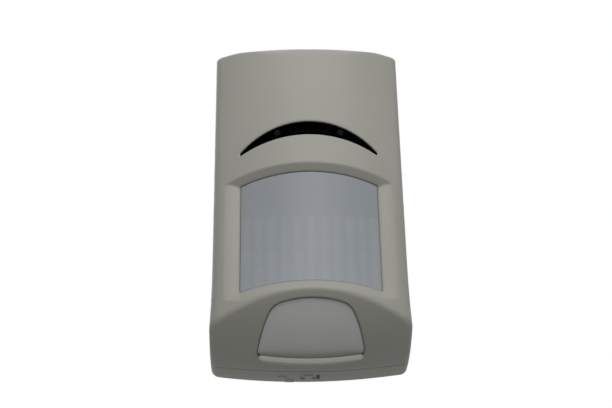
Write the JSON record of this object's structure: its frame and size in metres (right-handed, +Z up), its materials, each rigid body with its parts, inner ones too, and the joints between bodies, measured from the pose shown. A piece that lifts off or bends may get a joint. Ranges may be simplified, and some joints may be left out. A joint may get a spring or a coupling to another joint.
{
  "type": "motion detector",
  "caption": "Wall-mounted infrared motion detector with a tall curved housing, arched lens, dark crescent window and a swing-off front cover with a sliding lock.",
  "frame": {"origin": "centre of the flat rear face that lies on the wall", "axes": "+Z up along the housing, +Y back into the wall, +X to the right seen from in front; the front faces -Y"},
  "size_m": [0.0708, 0.0579, 0.1272],
  "materials": {
    "housing_plastic": "fine texture",
    "lens_plastic": "milky, satin",
    "window_plastic": "deep black gloss",
    "panel_plastic": "satin",
    "frame_plastic": "black",
    "circuit_board": "green lacquer",
    "plated_steel": "zinc plate",
    "can_metal": "drawn can",
    "pin_metal": "gilt",
    "filter_glass": "dark",
    "black_plastic": "moulded",
    "capacitor_sleeve": "can",
    "ceramic_body": "bare",
    "light_body": "tinted",
    "plunger_plastic": "natural nylon",
    "terminal_plastic": "green",
    "vial_glass": "tinted",
    "grommet_rubber": "soft"
  },
  "bodies": {
    "base": {"rear_base": "housing_plastic", "cable_grommet": "grommet_rubber", "base_board": "circuit_board", "base_board_screws": "plated_steel", "base_socket": "black_plastic", "terminal_block": "terminal_plastic", "terminal_screws": "plated_steel", "terminal_clamps": "plated_steel", "level_vial": "vial_glass"},
    "cover": {"front_cover": "housing_plastic", "fresnel_lens": "lens_plastic", "lens_retainer": "frame_plastic", "led_window": "window_plastic", "lower_panel": "panel_plastic", "main_board": "circuit_board", "board_screws": "plated_steel", "sensor_header": "plated_steel", "sensor_can": "can_metal", "sensor_window": "filter_glass", "sensor_shroud": "frame_plastic", "indicator_lights": "light_body", "microcontroller": "black_plastic", "crystal": "can_metal", "alarm_relay": "black_plastic", "electrolytic_capacitors": "capacitor_sleeve", "chip_resistors": "black_plastic", "chip_capacitors": "ceramic_body", "jumper_header": "black_plastic", "jumper_pins": "pin_metal", "jumper_cap": "black_plastic", "board_plug": "black_plastic", "plug_pins": "pin_metal", "tamper_switch": "black_plastic"},
    "lock": {"cover_lock": "housing_plastic"},
    "plunger": {"tamper_plunger": "plunger_plastic"}
  },
  "joints": [
    {"name": "cover_swing", "type": "hinge", "parent": "base", "child": "cover", "pos_m": [0, -0.0283, 0.0585], "axis": [-1, 0, 0], "range_deg": [0, 35]},
    {"name": "lock_slide", "type": "slide", "parent": "base", "child": "lock", "axis": [1, 0, 0], "range_m": [0, 0.0011]},
    {"name": "plunger_travel", "type": "slide", "parent": "cover", "child": "plunger", "axis": [0, 1, 0], "range_m": [0, 0.0008]}
  ],
  "couplings": [
    {"joint": "plunger_travel", "follows": "cover_swing", "m_per_rad": 0.0013}
  ]
}
